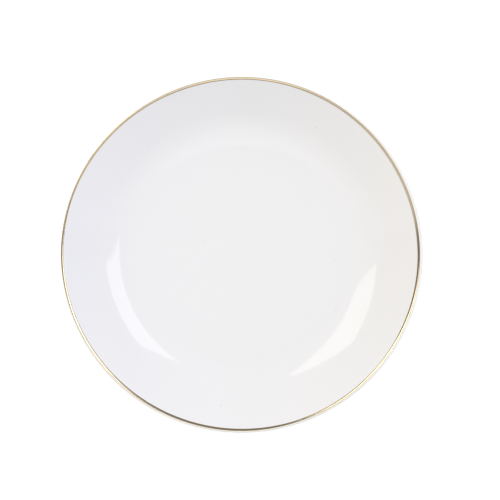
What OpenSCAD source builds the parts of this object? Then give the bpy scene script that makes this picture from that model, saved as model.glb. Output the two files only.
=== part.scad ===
// Coupe dinner plate in glazed porcelain, with a gilded lip and a bare foot ring.
// It stands on its foot ring: the origin is the middle of the ring's resting plane, and +Z is up.
// Every piece is turned about +Z. Millimetres and degrees.

/* [Plate] */
// Diameter over the lip
plate_d = 270; // [266:1:330]
// Height from the table to the crest of the lip
plate_h = 28.5; // [22:0.5:31]
// Thickness in the middle of the floor, glaze included
floor_t = 4.4; // [3.4:0.1:5.6]
// Thickness at the lip, which is fully rounded, glaze included
lip_t = 3; // [2.2:0.1:3.8]

/* [Well] */
// Diameter of the nearly flat floor
well_d = 160; // [130:1:164]
// How much lower the middle of the floor lies than its edge
well_sag = 0.7; // [0.3:0.1:1.5]
// Radius of the bend between the floor and the wall
bend_r = 70; // [30:1:74]
// Radius of the wall's own slow upward curve
wall_r = 400; // [250:10:900]

/* [Foot] */
// Height of the base above the table, at the middle of the plate
base_h = 3.5; // [2.8:0.1:4.5]
// How far the middle of the foot ring lies inside the floor's edge
foot_step = 7; // [4:0.5:20]
// Width of the flat face that the foot ring stands on
rest_w = 1.8; // [1:0.1:4]
// Radius of the foot ring's two lower corners
foot_round = 0.9; // [0.5:0.1:1.2]
// Radius of the fillets between the foot ring and the base
foot_fillet = 1; // [0.5:0.1:1.2]
// Lean of the foot ring's two sides away from upright
foot_lean = 12; // [0:1:20]

/* [Glaze] */
// Thickness of the fired glaze
glaze_t = 0.3; // [0.15:0.05:0.5]
// Height above the table at which the glaze stops on the foot ring
glaze_line = 1.4; // [1.2:0.1:1.6]

/* [Gilding] */
// Thickness of the gold band
gold_t = 0.1; // [0.05:0.05:0.3]
// Turn from the lip's crest to the band's outer edge, outwards
gold_out = 20; // [0:1:60]
// How far the band runs down the wall, inside the lip's rounding
gold_run = 0.7; // [0.2:0.1:4]

/* [Hidden] */
$fn = 180;

lip_r = lip_t / 2;
lip_c = [plate_d / 2 - lip_r, plate_h - lip_r]; // middle of the lip's rounding
face_z = base_h + floor_t;                      // lowest point of the upper face
well_r = well_d / 2;
floor_r = (well_r * well_r + well_sag * well_sag) / (2 * well_sag);
floor_c = [0, face_z + floor_r];
floor_end = asin(well_r / floor_r); // slope of the floor where the bend starts
bend_c = floor_c + (floor_r - bend_r) * [sin(floor_end), -cos(floor_end)];

function direction(a) = [cos(a), sin(a)];
function angle_of(v) = atan2(v.y, v.x);
function reversed(points) = [for (i = [len(points) - 1:-1:0]) points[i]];

// Points along an arc, both ends included
function arc(centre, r, from, to, steps) =
    [for (i = [0:steps]) centre + r * direction(from + (to - from) * i / steps)];

// Where the wall's arc meets the bend and the lip. The bend keeps its centre on both sides of the
// plate, and the wall is tangent to it and to the lip's circle: [centre, radius, first, last angle].
function wall_arc(bend, wall, gap) =
    let (spread = wall - bend,
         reach = norm(lip_c - bend_c),
         turn = acos((spread * spread + reach * reach - pow(wall + gap, 2)) / (2 * spread * reach)),
         first = angle_of(lip_c - bend_c) + turn - 180,
         centre = bend_c - spread * direction(first))
    [centre, wall, first, angle_of(lip_c - centre)];

face_wall = wall_arc(bend_r, wall_r, lip_r);
back_wall = wall_arc(bend_r + floor_t, wall_r + (floor_t + lip_t) / 2, -lip_r);

// The gilding's two edges: the inner one as an angle of the wall's arc, the outer one of the lip's
crest = 90;
gold_inner = face_wall[3] - gold_run / wall_r * 180 / PI;
gold_outer = crest - gold_out;

// The upper face from the middle to the gilding, sunk by inset into the material
function face(inset) = concat(
    arc(floor_c, floor_r + inset, -90, floor_end - 90, 6),
    arc(bend_c, bend_r + inset, floor_end - 90, face_wall[2], 12),
    arc(face_wall[0], face_wall[1] + inset, face_wall[2], gold_inner, 8));

// The strip under the gilding, from the wall over the lip's crest
function gilded(inset) = concat(
    arc(face_wall[0], face_wall[1] + inset, gold_inner, face_wall[3], 2),
    arc(lip_c, lip_r - inset, face_wall[3] + 180, gold_outer, 10));

// The rest of the lip's rounding, from the gilding round to the back
function lip(inset) = arc(lip_c, lip_r - inset, gold_outer, back_wall[3], 20);

// The back from the lip in to where the foot ring's outer fillet starts
function back(inset) = concat(
    arc(back_wall[0], back_wall[1] - inset, back_wall[3], back_wall[2], 8),
    arc(bend_c, bend_r + floor_t - inset, back_wall[2], floor_end - 90, 12),
    arc(floor_c, floor_r + floor_t - inset, floor_end - 90, base_angle(outer_side), 2));

// The foot ring. outer_side and inner_side mirror one flank about the ring's middle.
foot_r = well_r - foot_step;
outer_side = 1;
inner_side = -1;

// Middle of a lower corner's rounding
function corner_c(side) = [foot_r + side * rest_w / 2, foot_round];

// Direction square to a flank, out of the material
function flank_out(side) = [side * cos(foot_lean), -sin(foot_lean)];

// Radius at which a flank's fillet meets the base
function base_r(side) =
    let (rise = base_h + well_sag * pow(foot_r / well_r, 2) - foot_fillet - foot_round,
         run = (foot_round + glaze_t + foot_fillet + rise * sin(foot_lean)) / cos(foot_lean))
    foot_r + side * (rest_w / 2 + run);

// The angle about floor_c of that point on the base
function base_angle(side) = asin(base_r(side) / (floor_r + floor_t)) - 90;

// A fillet, from the base to the flank
function fillet(side, inset) =
    let (out = base_angle(side),
         centre = floor_c + (floor_r + floor_t + foot_fillet) * direction(out))
    arc(centre, foot_fillet + inset, out + 180, 90 + side * (90 - foot_lean), 6);

// Middle of the glaze's rounded edge, on the body's flank. Its lowest point is at glaze_line.
function glaze_end(side) =
    let (out = flank_out(side), foot = corner_c(side) + foot_round * out,
         climb = (glaze_line + glaze_t - foot.y) / cos(foot_lean))
    foot + climb * [side * sin(foot_lean), cos(foot_lean)];

// The glaze's rounded edge, from the outside in to the body
function glaze_nose(side) =
    arc(glaze_end(side), glaze_t, 90 - side * (90 + foot_lean), 90 - side * (180 + foot_lean), 5);

// A lower corner, from the flank round to the resting face
function corner(side) =
    arc(corner_c(side), foot_round, 90 - side * (90 + foot_lean), 90 - side * 180, 6);

// The base inside the foot ring, from the inner fillet in to the middle
function base(inset) =
    arc(floor_c, floor_r + floor_t - inset, base_angle(inner_side), -90, 6);

// The fired clay: one solid with its foot ring
module porcelain_body() {
    color("ivory")
        rotate_extrude()
            polygon(concat(
                face(glaze_t), gilded(glaze_t), lip(glaze_t), back(glaze_t),
                fillet(outer_side, glaze_t), corner(outer_side),
                reversed(corner(inner_side)), reversed(fillet(inner_side, glaze_t)),
                base(glaze_t)));
}

// The glaze over the face, round the lip and down the back to the foot ring's outer side
module outer_glaze() {
    color("white")
        rotate_extrude()
            polygon(concat(
                face(0), gilded(0), lip(0), back(0),
                fillet(outer_side, 0), glaze_nose(outer_side),
                reversed(concat(
                    face(glaze_t), gilded(glaze_t), lip(glaze_t), back(glaze_t),
                    fillet(outer_side, glaze_t)))));
}

// The glaze on the base inside the foot ring
module recess_glaze() {
    color("white")
        rotate_extrude()
            polygon(concat(
                reversed(glaze_nose(inner_side)), reversed(fillet(inner_side, 0)), base(0),
                reversed(concat(reversed(fillet(inner_side, glaze_t)), base(glaze_t)))));
}

// The gold, fired on the glaze over the lip's crest and a little way down the wall
module gold_rim_band() {
    color("gold")
        rotate_extrude()
            polygon(concat(gilded(-gold_t), reversed(gilded(0))));
}

porcelain_body();
outer_glaze();
recess_glaze();
gold_rim_band();
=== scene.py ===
import math

import bmesh
import bpy
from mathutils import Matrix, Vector, noise


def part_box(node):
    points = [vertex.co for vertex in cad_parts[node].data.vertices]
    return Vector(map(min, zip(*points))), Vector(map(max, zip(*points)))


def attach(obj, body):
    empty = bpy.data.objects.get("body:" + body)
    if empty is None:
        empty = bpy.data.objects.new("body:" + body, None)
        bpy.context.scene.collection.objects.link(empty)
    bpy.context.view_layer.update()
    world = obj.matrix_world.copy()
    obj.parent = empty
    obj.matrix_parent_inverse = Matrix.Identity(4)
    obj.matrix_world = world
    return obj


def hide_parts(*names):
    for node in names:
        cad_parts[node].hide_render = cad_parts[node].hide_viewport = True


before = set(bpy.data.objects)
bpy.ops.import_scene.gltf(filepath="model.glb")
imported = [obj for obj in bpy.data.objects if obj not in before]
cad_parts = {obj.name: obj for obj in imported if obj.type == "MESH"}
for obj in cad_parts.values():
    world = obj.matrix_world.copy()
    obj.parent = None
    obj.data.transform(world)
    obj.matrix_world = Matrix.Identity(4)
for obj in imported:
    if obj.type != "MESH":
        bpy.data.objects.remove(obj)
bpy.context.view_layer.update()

fullTurn = 2 * math.pi
down = -math.pi / 2  # the angle of an arc's lowest point
up = math.pi / 2
mergeWithin = 1e-7   # vertices closer than this become one


class Wire:
    # One socket of a node tree. Sums on wires add Math nodes.
    def __init__(self, recipe, socket):
        self.recipe = recipe
        self.socket = socket

    def maths(self, operation, *values):
        return self.recipe.node("ShaderNodeMath", {"operation": operation}, dict(enumerate(values)))

    def __add__(self, other):
        return self.maths("ADD", self, other)

    def __radd__(self, other):
        return self.maths("ADD", other, self)

    def __sub__(self, other):
        return self.maths("SUBTRACT", self, other)

    def __rsub__(self, other):
        return self.maths("SUBTRACT", other, self)

    def __mul__(self, other):
        return self.maths("MULTIPLY", self, other)

    def __rmul__(self, other):
        return self.maths("MULTIPLY", other, self)

    def __truediv__(self, other):
        return self.maths("DIVIDE", self, other)

    def __rtruediv__(self, other):
        return self.maths("DIVIDE", other, self)

    def __pow__(self, other):
        return self.maths("POWER", self, other)

    def __rpow__(self, other):
        return self.maths("POWER", other, self)


class Recipe:
    # The node tree of a material or of the world
    def __init__(self, owner):
        owner.use_nodes = True
        self.tree = owner.node_tree
        self.tree.nodes.clear()

    def node(self, kind, settings=None, inputs=None, output=0):
        made = self.tree.nodes.new(kind)
        for name, value in (settings or {}).items():
            setattr(made, name, value)
        for name, value in (inputs or {}).items():
            if isinstance(value, Wire):
                self.tree.links.new(value.socket, made.inputs[name])
            else:
                made.inputs[name].default_value = value
        return Wire(self, made.outputs[output] if made.outputs else None)

    def place(self):  # the point being shaded, whole and as x, y and z
        where = self.node("ShaderNodeTexCoord", output="Object")
        return where, self.parts(where)

    def parts(self, vector):
        return [self.node("ShaderNodeSeparateXYZ", None, {0: vector}, axis) for axis in range(3)]

    def step(self, value, low, high):  # 0 at low, 1 at high, eased in between
        return self.node("ShaderNodeMapRange", {"interpolation_type": "SMOOTHSTEP"},
                         {"Value": value, "From Min": low, "From Max": high})

    def cloud(self, where, scale, detail=2.0):  # soft noise about 0.5
        return self.node("ShaderNodeTexNoise", None, {"Vector": where, "Scale": scale, "Detail": detail})

    def cells(self, where, settings, scale, output=0):  # distance to a random dot, or its colour
        inputs = {"Vector": where, "Scale": scale, "Randomness": 1.0}
        return self.node("ShaderNodeTexVoronoi", settings, inputs, output)

    def blend(self, amount, first, second):  # colours
        return self.node("ShaderNodeMix", {"data_type": "RGBA"}, {0: amount, 6: first, 7: second}, 2)

    def bump(self, height, depth, normal=None):  # height from 0 to 1 over a depth in metres
        inputs = {"Height": height, "Distance": depth, "Strength": 1.0}
        if normal is not None:
            inputs["Normal"] = normal
        return self.node("ShaderNodeBump", None, inputs)

    def finish(self, sockets, kind="ShaderNodeBsdfPrincipled", end="ShaderNodeOutputMaterial"):
        shader = self.node(kind, None, sockets)
        self.node(end, None, {"Surface": shader})


# The plate's outline
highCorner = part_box("outer_glaze")[1]
shape = {
    "radius": highCorner.x,
    "height": highCorner.z,
    "floorThickness": 0.0044,
    "lipThickness": 0.003,
    "edgeRound": 0.0009,       # the lip's outer edge
    "shoulderRadius": 0.0065,  # the gentle roll just inside it, which carries the gold
    "wellRadius": 0.080,
    "wellSag": 0.0007,
    "bendRadius": 0.070,
    "wallRadius": 0.400,
    "baseHeight": 0.0035,
    "footStep": 0.007,
    "restWidth": 0.0018,
    "footRound": 0.0009,
    "footFillet": 0.001,
    "footLean": math.radians(12),
    "glazeThickness": 0.0003,
    "glazeLine": 0.0014,
}


def point(x, z):
    return Vector((x, z))


def direction(angle):
    return point(math.cos(angle), math.sin(angle))


def angleOf(vector):
    return math.atan2(vector.y, vector.x)


lipRadius = shape["lipThickness"] / 2
lipCentre = point(shape["radius"] - lipRadius, shape["height"] - lipRadius)
wellRadius = shape["wellRadius"]
floorRadius = (wellRadius ** 2 + shape["wellSag"] ** 2) / (2 * shape["wellSag"])
floorCentre = point(0, shape["baseHeight"] + shape["floorThickness"] + floorRadius)
floorEnd = math.asin(wellRadius / floorRadius) + down
bendCentre = floorCentre + (floorRadius - shape["bendRadius"]) * direction(floorEnd)


def wallArc(bend, wall, gap):
    # The wall is tangent to the bend and to the lip: its centre, radius, first and last angle
    spread = wall - bend
    reach = (lipCentre - bendCentre).length
    turn = math.acos((spread ** 2 + reach ** 2 - (wall + gap) ** 2) / (2 * spread * reach))
    first = angleOf(lipCentre - bendCentre) + turn - math.pi
    centre = bendCentre - spread * direction(first)
    return centre, wall, first, angleOf(lipCentre - centre)


faceWall = wallArc(shape["bendRadius"], shape["wallRadius"], lipRadius)
thickness = (shape["floorThickness"] + shape["lipThickness"]) / 2  # the wall's, halfway up
backBend = shape["bendRadius"] + shape["floorThickness"]
backWall = wallArc(backBend, shape["wallRadius"] + thickness, -lipRadius)
edgeCentre = point(shape["radius"] - shape["edgeRound"], shape["height"] - shape["edgeRound"])


def shoulderArc():
    # Tangent to the wall and to the lip's outer edge: its centre, radius, first and last angle
    radius = shape["shoulderRadius"]
    inner = radius - shape["edgeRound"]
    apart = faceWall[0] - edgeCentre
    outer = faceWall[1] + radius
    cosine = (inner ** 2 + apart.length_squared - outer ** 2) / (2 * inner * apart.length)
    centre = edgeCentre + inner * direction(angleOf(apart) + math.acos(cosine))
    return centre, radius, angleOf(faceWall[0] - centre), angleOf(edgeCentre - centre)


shoulder = shoulderArc()
wallEnd = shoulder[2] - math.pi  # where the wall's arc stops
footRadius = wellRadius - shape["footStep"]
underside = floorRadius + shape["floorThickness"]


def filletPlace(side):
    # Where a flank of the foot ring meets the underside, as an angle about the floor's centre
    lean = shape["footLean"]
    sag = shape["wellSag"] * (footRadius / wellRadius) ** 2
    rise = shape["baseHeight"] + sag - shape["footFillet"] - shape["footRound"]
    run = shape["footRound"] + shape["glazeThickness"] + shape["footFillet"] + rise * math.sin(lean)
    meeting = footRadius + side * (shape["restWidth"] / 2 + run / math.cos(lean))
    return math.asin(meeting / underside) + down


def flankAngle(side):  # square to a flank, out of the clay
    return up - side * (up + shape["footLean"])


# Each stretch below is a list of arcs, as centre, radius, first angle, last angle and steps.
# sunk is how deep it lies under the glaze's surface, and fine multiplies the steps.

def faceArcs(sunk, fine):
    return [
        (floorCentre, floorRadius + sunk, down, floorEnd, 12 * fine),
        (bendCentre, shape["bendRadius"] + sunk, floorEnd, faceWall[2], 12 * fine),
        (faceWall[0], faceWall[1] + sunk, faceWall[2], wallEnd, 8 * fine),
    ]


def lipArcs(sunk, fine):
    return [
        (shoulder[0], shoulder[1] - sunk, shoulder[2], shoulder[3], 4 * fine),
        (edgeCentre, shape["edgeRound"] - sunk, shoulder[3], 0, 6 * fine),
        (lipCentre, lipRadius - sunk, 0, backWall[3], 4 * fine),
    ]


def backArcs(sunk, fine):
    return [
        (backWall[0], backWall[1] - sunk, backWall[3], backWall[2], 6 * fine),
        (bendCentre, backBend - sunk, backWall[2], floorEnd, 8 * fine),
        (floorCentre, underside - sunk, floorEnd, filletPlace(1), 2 * fine),
    ]


def baseArcs(sunk, fine):
    return [(floorCentre, underside - sunk, filletPlace(-1), down, 8 * fine)]


def filletArcs(side, sunk, fine):
    centre = floorCentre + (underside + shape["footFillet"]) * direction(filletPlace(side))
    first = filletPlace(side) + math.pi
    last = up + side * (up - shape["footLean"])
    return [(centre, shape["footFillet"] + sunk, first, last, 4 * fine)]


def noseArcs(side, fine):
    # The rounded edge that the glaze draws back to on the foot ring's flank
    lean = shape["footLean"]
    corner = point(footRadius + side * shape["restWidth"] / 2, shape["footRound"])
    foot = corner + shape["footRound"] * direction(flankAngle(side))
    climb = (shape["glazeLine"] + shape["glazeThickness"] - foot.y) / math.cos(lean)
    centre = foot + climb * point(side * math.sin(lean), math.cos(lean))
    first = flankAngle(side)
    return [(centre, shape["glazeThickness"], first, first - side * up, 4 * fine)]


def cornerArcs(side, fine):
    centre = point(footRadius + side * shape["restWidth"] / 2, shape["footRound"])
    return [(centre, shape["footRound"], flankAngle(side), up - side * math.pi, 4 * fine)]


def backwards(arcs):
    return [(centre, radius, last, first, steps) for centre, radius, first, last, steps in reversed(arcs)]


def drawOutline(arcs):
    # Draws the arcs one after another and joins them into one closed line, open only on the axis
    mesh = bmesh.new()
    ends = []
    for centre, radius, first, last, steps in arcs:
        start = centre + radius * direction(first)
        vertex = mesh.verts.new((start.x, 0, start.y))
        swept = bmesh.ops.spin(mesh, geom=[vertex], cent=(centre.x, 0, centre.y), axis=(0, -1, 0),
                               angle=last - first, steps=steps)
        finish = [item for item in swept["geom_last"] if isinstance(item, bmesh.types.BMVert)][0]
        ends.append((vertex, finish))
    for (_, finish), (start, _) in zip(ends, ends[1:] + ends[:1]):
        if max(finish.co.x, start.co.x) > mergeWithin:  # else both are on the axis
            mesh.edges.new((finish, start))
    bmesh.ops.remove_doubles(mesh, verts=mesh.verts, dist=mergeWithin)
    return mesh


def turn(mesh, name, steps):
    # Spins the outline about Z, closes the poles and turns the faces outwards
    bmesh.ops.spin(mesh, geom=mesh.verts[:] + mesh.edges[:], cent=(0, 0, 0), axis=(0, 0, 1),
                   angle=fullTurn, steps=steps, use_merge=True)
    bmesh.ops.remove_doubles(mesh, verts=mesh.verts, dist=mergeWithin)
    return keep(mesh, name)


def putInScene(name, data):
    made = bpy.data.objects.new(name, data)
    bpy.context.scene.collection.objects.link(made)
    return made


def keep(mesh, name):
    bmesh.ops.recalc_face_normals(mesh, faces=mesh.faces)
    data = bpy.data.meshes.new(name)
    mesh.to_mesh(data)
    mesh.free()
    data.shade_smooth()
    data.set_sharp_from_angle(angle=math.radians(50))
    return putInScene(name, data)


def dress(piece, material, slotName, *nodes):
    piece.data.materials.append(material)
    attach(piece, "root")
    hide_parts(*nodes)
    print(piece.name, "made,", len(piece.data.polygons), "faces")


clay = {
    "turnSteps": 240,
    "colour": (0.74, 0.715, 0.67, 1),
    "treadColour": (0.60, 0.575, 0.53, 1),  # greyed by tables
    "grainColour": (0.55, 0.53, 0.49, 1),
    "speckColour": (0.26, 0.22, 0.18, 1),
    "grain": 2600,  # this and the next three are per metre
    "patches": 90,
    "specks": 700,
    "speckGroups": 240,
    "speckSize": (0.2, 0.12),       # of a cell, from faint to full
    "speckedShare": (0.56, 0.6),    # of the noise that says where specks are
    "wornShare": (0.3, 0.75),       # of the noise that says where the tread is worn
    "polished": (0.00035, 0.00002),  # height above the table, from matt to polished
    "wear": 0.8,
    "speckStrength": 0.8,
    "grainStrength": 0.25,
    "grainDepth": 0.00003,
    "grainLeft": 0.3,  # how much of the grain is left on the tread
    "roughness": 0.62,
    "treadRoughness": 0.42,
    "grainRoughness": 0.1,
}


def clayMaterial():
    material = bpy.data.materials.new("firedClay")
    recipe = Recipe(material)
    where, (_, _, z) = recipe.place()
    grain = recipe.cloud(where, clay["grain"], 3.0)
    tread = recipe.step(z, *clay["polished"])
    worn = tread * recipe.step(recipe.cloud(where, clay["patches"]), *clay["wornShare"])
    speck = recipe.step(recipe.cells(where, None, clay["specks"]), *clay["speckSize"])
    speck = speck * recipe.step(recipe.cloud(where, clay["speckGroups"]), *clay["speckedShare"])
    colour = recipe.blend(worn * clay["wear"], clay["colour"], clay["treadColour"])
    colour = recipe.blend(speck * clay["speckStrength"], colour, clay["speckColour"])
    colour = recipe.blend((grain - 0.5) * clay["grainStrength"], colour, clay["grainColour"])
    roughness = clay["roughness"] - tread * (clay["roughness"] - clay["treadRoughness"])
    height = grain * (1 - tread * (1 - clay["grainLeft"]))
    recipe.finish({
        "Base Color": colour,
        "Roughness": roughness + grain * clay["grainRoughness"],
        "Normal": recipe.bump(height, clay["grainDepth"]),
    })
    return material


def makeClay():
    sunk = shape["glazeThickness"]
    arcs = faceArcs(sunk, 1) + lipArcs(sunk, 1) + backArcs(sunk, 1) + filletArcs(1, sunk, 2)
    arcs += cornerArcs(1, 2) + backwards(cornerArcs(-1, 2)) + backwards(filletArcs(-1, sunk, 2))
    arcs += baseArcs(sunk, 1)
    piece = turn(drawOutline(arcs), "fired_clay", clay["turnSteps"])
    dress(piece, clayMaterial(), "bisque", "porcelain_body")


glaze = {
    "turnSteps": 288,
    "colour": (0.80, 0.795, 0.828, 1),
    "thinColour": (0.84, 0.825, 0.80, 1),   # where it draws thin over the lip: warmer, and paler than the face as painted light on the lip's outer edge
    "cloudColour": (0.76, 0.76, 0.78, 1),
    "speckColour": (0.34, 0.29, 0.24, 1),   # iron in the clay, burnt through
    "thinAndPaintedLightBand": (0.0022, 0.0006),           # in from the plate's edge, from thick to thin; the painted light on the lip fades in over the same band
    "waves": 28,  # this and the next two are per metre
    "peel": 420,
    "specks": 70,
    "speckedCells": (0.93, 0.931),          # only the cells above this have a speck
    "speckSize": 0.008,                     # of a cell, the smallest
    "speckSpread": 0.014,
    "speckEdge": (1.25, 0.75),              # of a speck's size, from faint to full
    "speckStrength": 0.75,
    "cloudStrength": 0.2,
    "roughness": 0.045,
    "waveRoughness": 0.02,
    "peelRoughness": 0.012,
    "ior": 1.5,
    "waveDepth": 0.00003,
    "peelDepth": 0.000003,
}


def glazeMaterial():
    material = bpy.data.materials.new("porcelainGlaze")
    recipe = Recipe(material)
    where, (x, y, _) = recipe.place()
    inset = shape["radius"] - (x * x + y * y) ** 0.5
    wave = recipe.cloud(where, glaze["waves"])
    peel = recipe.cloud(where, glaze["peel"])
    thin = recipe.step(inset, *glaze["thinAndPaintedLightBand"])
    flat = recipe.node("ShaderNodeCombineXYZ", None, {0: x, 1: y})
    settings = {"voronoi_dimensions": "2D"}
    dots = recipe.cells(flat, settings, glaze["specks"])
    drawn = recipe.cells(flat, settings, glaze["specks"], 1)  # three random numbers for each cell
    lot = recipe.node("ShaderNodeSeparateColor", None, {0: drawn})
    spread = recipe.node("ShaderNodeSeparateColor", None, {0: drawn}, 1)
    size = spread * glaze["speckSpread"] + glaze["speckSize"]
    speck = recipe.step(dots / size, *glaze["speckEdge"]) * recipe.step(lot, *glaze["speckedCells"])
    # Near the edge the glaze is thin and warmer, and it is also painted paler, as painted light on the
    # lip's outer edge
    colour = recipe.blend(thin, glaze["colour"], glaze["thinColour"])
    colour = recipe.blend((wave - 0.5) * glaze["cloudStrength"], colour, glaze["cloudColour"])
    colour = recipe.blend(speck * glaze["speckStrength"], colour, glaze["speckColour"])
    roughness = glaze["roughness"] + wave * glaze["waveRoughness"] + peel * glaze["peelRoughness"]
    recipe.finish({
        "Base Color": colour,
        "Roughness": roughness,
        "IOR": glaze["ior"],
        "Normal": recipe.bump(peel, glaze["peelDepth"], recipe.bump(wave, glaze["waveDepth"])),
    })
    return material


glazeFinish = glazeMaterial()


def makeFaceGlaze():
    sunk = shape["glazeThickness"]
    outside = faceArcs(0, 3) + lipArcs(0, 3) + backArcs(0, 2) + filletArcs(1, 0, 2) + noseArcs(1, 2)
    inside = faceArcs(sunk, 1) + lipArcs(sunk, 1) + backArcs(sunk, 1) + filletArcs(1, sunk, 1)
    piece = turn(drawOutline(outside + backwards(inside)), "face_glaze", glaze["turnSteps"])
    dress(piece, glazeFinish, "glaze", "outer_glaze")


def makeBaseGlaze():
    sunk = shape["glazeThickness"]
    outside = backwards(noseArcs(-1, 2)) + backwards(filletArcs(-1, 0, 2)) + baseArcs(0, 3)
    inside = backwards(filletArcs(-1, sunk, 1)) + baseArcs(sunk, 1)
    piece = turn(drawOutline(outside + backwards(inside)), "base_glaze", glaze["turnSteps"])
    dress(piece, glazeFinish, "glaze", "recess_glaze")


gold = {
    "turnSteps": 720,
    "stepsAcross": 10,
    "thickness": 0.00008,
    "inset": 0.00211,       # middle of the line, in from the plate's edge
    "width": 0.0017,
    "unsteady": 0.00016,    # how much the brush's width varies
    # The hand's slow wander: waves in one turn, their height, and where one lies furthest in
    "wander": ((1, 0.00064, 2), (2, 0.00026, 28), (3, 0.00027, 1), (4, 0.00018, 34)),
    "swellings": 2.6,       # noise scales on a circle of radius 1
    "ripples": 40,
    "rippleShare": 0.2,
    "thinning": 0.85,       # how much thinner the line gets at its edges
    "colour": (1.0, 0.82, 0.56, 1),
    "thinColour": (0.90, 0.70, 0.46, 1),
    "thinShare": (0.35, 0.75),
    "thinStrength": 0.5,
    "strokeStrength": 0.3,
    "hairs": 9000,          # per metre, across the brush's strokes
    "strokes": 12,          # per radian, along them
    "patches": 120,         # per metre
    "roughness": 0.07,
    "strokeRoughness": 0.06,
    "patchRoughness": 0.05,
    "strokeDepth": 0.000004,
}


def onLip(inset, lift):
    # A point of the upper face, a distance in from the plate's edge, lifted off the glaze
    x = shape["radius"] - inset
    for centre, radius, start, end, _ in lipArcs(0, 1)[1::-1]:
        if x >= (centre + radius * direction(start)).x:
            return centre + (radius + lift) * direction(math.acos((x - centre.x) / radius))
    centre, radius = faceWall[:2]
    return centre + (radius - lift) * direction(-math.acos((x - centre.x) / radius))


def goldEdges(angle):
    # How far in from the plate's edge the line's two edges lie, at an angle round the plate
    middle = gold["inset"]
    for waves, height, furthest in gold["wander"]:
        middle += height * math.cos(waves * (angle - math.radians(furthest)))
    around = Vector((math.cos(angle), math.sin(angle), 0))
    swelling = noise.noise(around * gold["swellings"] + Vector((0, 0, 3))) * gold["unsteady"]
    ripple = noise.noise(around * gold["ripples"]) * gold["unsteady"] * gold["rippleShare"]
    half = gold["width"] / 2 + swelling
    return middle + half + ripple, middle - half + ripple


def goldMaterial():
    material = bpy.data.materials.new("firedGold")
    recipe = Recipe(material)
    where, (x, y, z) = recipe.place()
    around = recipe.node("ShaderNodeMath", {"operation": "ARCTAN2"}, {0: y, 1: x})
    across = (x * x + y * y) ** 0.5 * gold["hairs"]
    stroke = recipe.node("ShaderNodeCombineXYZ", None,
                         {0: across, 1: around * gold["strokes"], 2: z * gold["hairs"]})
    brush = recipe.cloud(stroke, 1.0)
    patch = recipe.cloud(where, gold["patches"])
    thin = recipe.step(patch, *gold["thinShare"]) * gold["thinStrength"]
    thin = thin + (brush - 0.5) * gold["strokeStrength"]
    roughness = gold["roughness"] + brush * gold["strokeRoughness"] + patch * gold["patchRoughness"]
    recipe.finish({
        "Base Color": recipe.blend(thin, gold["colour"], gold["thinColour"]),
        "Metallic": 1.0,
        "Roughness": roughness,
        "Normal": recipe.bump(brush, gold["strokeDepth"]),
    })
    return material


def makeGold():
    # A flat ring is spun first: its width and thickness then say where on the lip each vertex goes
    mesh = bmesh.new()
    across = gold["stepsAcross"]
    corner = mesh.verts.new((1, 0, 0))
    line = bmesh.ops.extrude_vert_indiv(mesh, verts=[corner])["verts"]
    bmesh.ops.translate(mesh, verts=line, vec=(1, 0, 0))
    bmesh.ops.subdivide_edges(mesh, edges=mesh.edges[:], cuts=across - 1)
    made = bmesh.ops.extrude_edge_only(mesh, edges=mesh.edges[:])["geom"]
    top = [item for item in made if isinstance(item, bmesh.types.BMVert)]
    bmesh.ops.translate(mesh, verts=top, vec=(0, 0, 1))
    rim = [edge for edge in mesh.edges if edge.is_boundary]
    bmesh.ops.delete(mesh, geom=mesh.faces[:], context="FACES_ONLY")
    inner = [edge for edge in mesh.edges if edge not in rim]
    bmesh.ops.delete(mesh, geom=inner, context="EDGES")
    bmesh.ops.spin(mesh, geom=mesh.verts[:] + mesh.edges[:], cent=(0, 0, 0), axis=(0, 0, 1),
                   angle=fullTurn, steps=gold["turnSteps"], use_merge=True)
    bmesh.ops.remove_doubles(mesh, verts=mesh.verts, dist=mergeWithin * 10)  # this ring is 4 m across
    for vertex in mesh.verts:
        angle = math.atan2(vertex.co.y, vertex.co.x)
        share = vertex.co.xy.length - 1
        innerEdge, outerEdge = goldEdges(angle)
        swell = 1 - gold["thinning"] * abs(2 * share - 1) ** 6  # even, and thin only at the edges
        inset = innerEdge + share * (outerEdge - innerEdge)
        place = onLip(inset, vertex.co.z * swell * gold["thickness"])
        vertex.co = (place.x * math.cos(angle), place.x * math.sin(angle), place.y)
    piece = keep(mesh, "gold_line")
    dress(piece, goldMaterial(), "gold", "gold_rim_band")


makeClay()
makeFaceGlaze()
makeBaseGlaze()
makeGold()


studio = {
    "floorSize": 8,
    "floorColour": (0.82, 0.82, 0.825, 1),
    "floorPale": (0.9, 0.9, 0.9, 1),       # the paper's paler fibres
    "floorBounce": (0.5, 0.5, 0.507, 1),   # what the plate's back is lit by
    "floorGlow": 0.52,                     # seen by the camera only
    "fibres": 3,                           # per metre
    "fibreStrength": 0.1,
    "boxDistance": 3.0,
    "boxLevel": 2.2,
    "backdrop": (0.96, 0.96, 0.965, 1),
    "skyLevel": 1.04,
    "skyLeft": (1.07, 1.0, 0.80, 1),
    "skyRight": (0.94, 1.0, 1.15, 1),
    "skyFromBack": 0.2,  # how much brighter the back is than the middle
    "skyOverhead": 0.42,
    "skyLow": 0.68,
    "roomLevel": 0.18,
    "frontLevel": 0.36,
    "frontFar": (0.14, 0.02),    # where that paler part starts, from dark to pale
    "frontNear": (-0.64, -0.48),
    "frontLow": (0.2, 0.4),
    "sheetLevel": 0.4,
    "sheetMiddle": -0.14,        # towards the front
    "sheetEdge": (0.26, 0.14),
}


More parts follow.
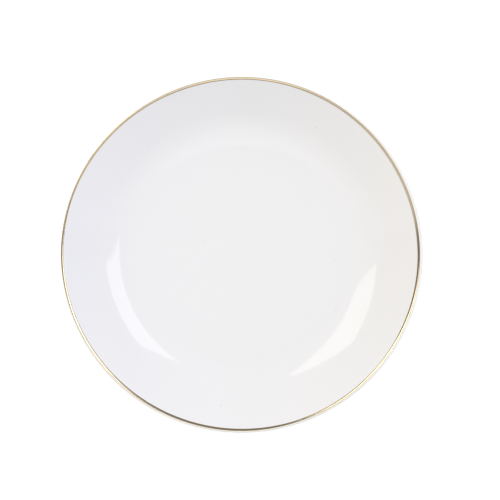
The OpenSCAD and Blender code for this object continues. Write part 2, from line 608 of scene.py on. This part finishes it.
def makeFloor():
    mesh = bmesh.new()
    bmesh.ops.create_grid(mesh, x_segments=1, y_segments=1, size=studio["floorSize"] / 2)
    data = bpy.data.meshes.new("studio_floor")
    mesh.to_mesh(data)
    mesh.free()
    material = bpy.data.materials.new("studioPaper")
    recipe = Recipe(material)
    where, _ = recipe.place()
    fibre = recipe.cloud(where, studio["fibres"]) * studio["fibreStrength"]
    paper = recipe.blend(fibre, studio["floorColour"], studio["floorPale"])
    # The camera sees bright paper, and the plate's back is lit by a darker one, so that it reads
    seen = recipe.node("ShaderNodeLightPath", output="Is Camera Ray")
    recipe.finish({
        "Base Color": recipe.blend(seen, studio["floorBounce"], paper),
        "Roughness": 0.95,
        "Specular IOR Level": 0.0,
        "Emission Color": recipe.blend(seen, (0, 0, 0, 1), (1, 1, 1, 1)),
        "Emission Strength": studio["floorGlow"],
    })
    data.materials.append(material)
    putInScene("studio_floor", data)


# Two soft boxes: tilt from the zenith, azimuth from +X and roll in degrees, and their two sides
boxes = {
    "coolBox": {"tilt": 29.0, "azimuth": 45.2, "roll": 67.2, "along": 1.08, "across": 0.86,
                "tint": (0.98, 0.98, 1.04)},
    "warmBox": {"tilt": 32.4, "azimuth": 129.4, "roll": -40.7, "along": 1.16, "across": 1.08,
                "tint": (0.97, 0.96, 0.83)},
}


def makeBox(name):
    # It faces the plate
    box = boxes[name]
    tilt = math.radians(box["tilt"])
    azimuth = math.radians(box["azimuth"])
    towards = Vector((math.sin(tilt) * math.cos(azimuth),
                      math.sin(tilt) * math.sin(azimuth), math.cos(tilt)))
    data = bpy.data.lights.new(name, "AREA")
    data.shape = "RECTANGLE"
    data.size = box["across"]
    data.size_y = box["along"]
    data.color = box["tint"]
    data.energy = studio["boxLevel"] * box["across"] * box["along"] * math.pi
    light = putInScene(name, data)
    light.location = towards * studio["boxDistance"]
    light.rotation_euler = towards.to_track_quat("Z", "Y").to_euler()
    light.rotation_euler.rotate_axis("Z", math.radians(box["roll"]))
    light.visible_camera = False


def makeWorld():
    world = bpy.data.worlds.new("studioRoom")
    bpy.context.scene.world = world
    recipe = Recipe(world)
    x, y, z = recipe.parts(recipe.node("ShaderNodeTexCoord", output="Generated"))
    tint = recipe.blend(x * 0.5 + 0.5, studio["skyLeft"], studio["skyRight"])
    depth = y * studio["skyFromBack"] + 1
    height = z * studio["skyOverhead"] + studio["skyLow"]
    sky = recipe.node("ShaderNodeVectorMath", {"operation": "SCALE"},
                      {0: tint, "Scale": depth * height * studio["skyLevel"]})
    # What the gloss shows: a dim room, paler above the front of the plate, with a white sheet there
    front = recipe.step(y, *studio["frontFar"]) * recipe.step(y, *studio["frontNear"])
    front = front * recipe.step(z, *studio["frontLow"])
    away = (x ** 2.0 + (y - studio["sheetMiddle"]) ** 2.0) ** 0.5
    sheet = recipe.step(away, *studio["sheetEdge"])
    room = studio["roomLevel"] + front * studio["frontLevel"] + sheet * studio["sheetLevel"]
    glossy = recipe.node("ShaderNodeCombineColor", None, {0: room, 1: room, 2: room})
    seen = recipe.node("ShaderNodeLightPath", output="Is Glossy Ray")
    camera = recipe.node("ShaderNodeLightPath", output="Is Camera Ray")
    light = recipe.blend(camera, recipe.blend(seen, sky, glossy), studio["backdrop"])
    recipe.finish({"Color": light, "Strength": 1.0}, "ShaderNodeBackground", "ShaderNodeOutputWorld")


# Nearly overhead, from the front. The plate sits a little left of and below the middle.
view = {
    "elevation": 79.5,  # degrees
    "distance": 1.0,
    "lens": 96.5,       # millimetres, as is the sensor's width
    "sensorWidth": 36,
    "aside": (0.00615, 0.00015, 0),
}


def makeCamera():
    elevation = math.radians(view["elevation"])
    data = bpy.data.cameras.new("camera")
    data.lens = view["lens"]
    data.sensor_width = view["sensorWidth"]
    camera = putInScene("camera", data)
    back = Vector((0, -math.cos(elevation), math.sin(elevation)))
    turned = (-back).to_track_quat("-Z", "Y")
    rim = Vector((0, 0, lipCentre.y))
    camera.location = rim + back * view["distance"] + turned @ Vector(view["aside"])
    camera.rotation_euler = turned.to_euler()
    bpy.context.scene.camera = camera


makeFloor()
for name in boxes:
    makeBox(name)
makeWorld()
makeCamera()
bpy.context.scene.view_settings.view_transform = "Standard"
print("studio made")
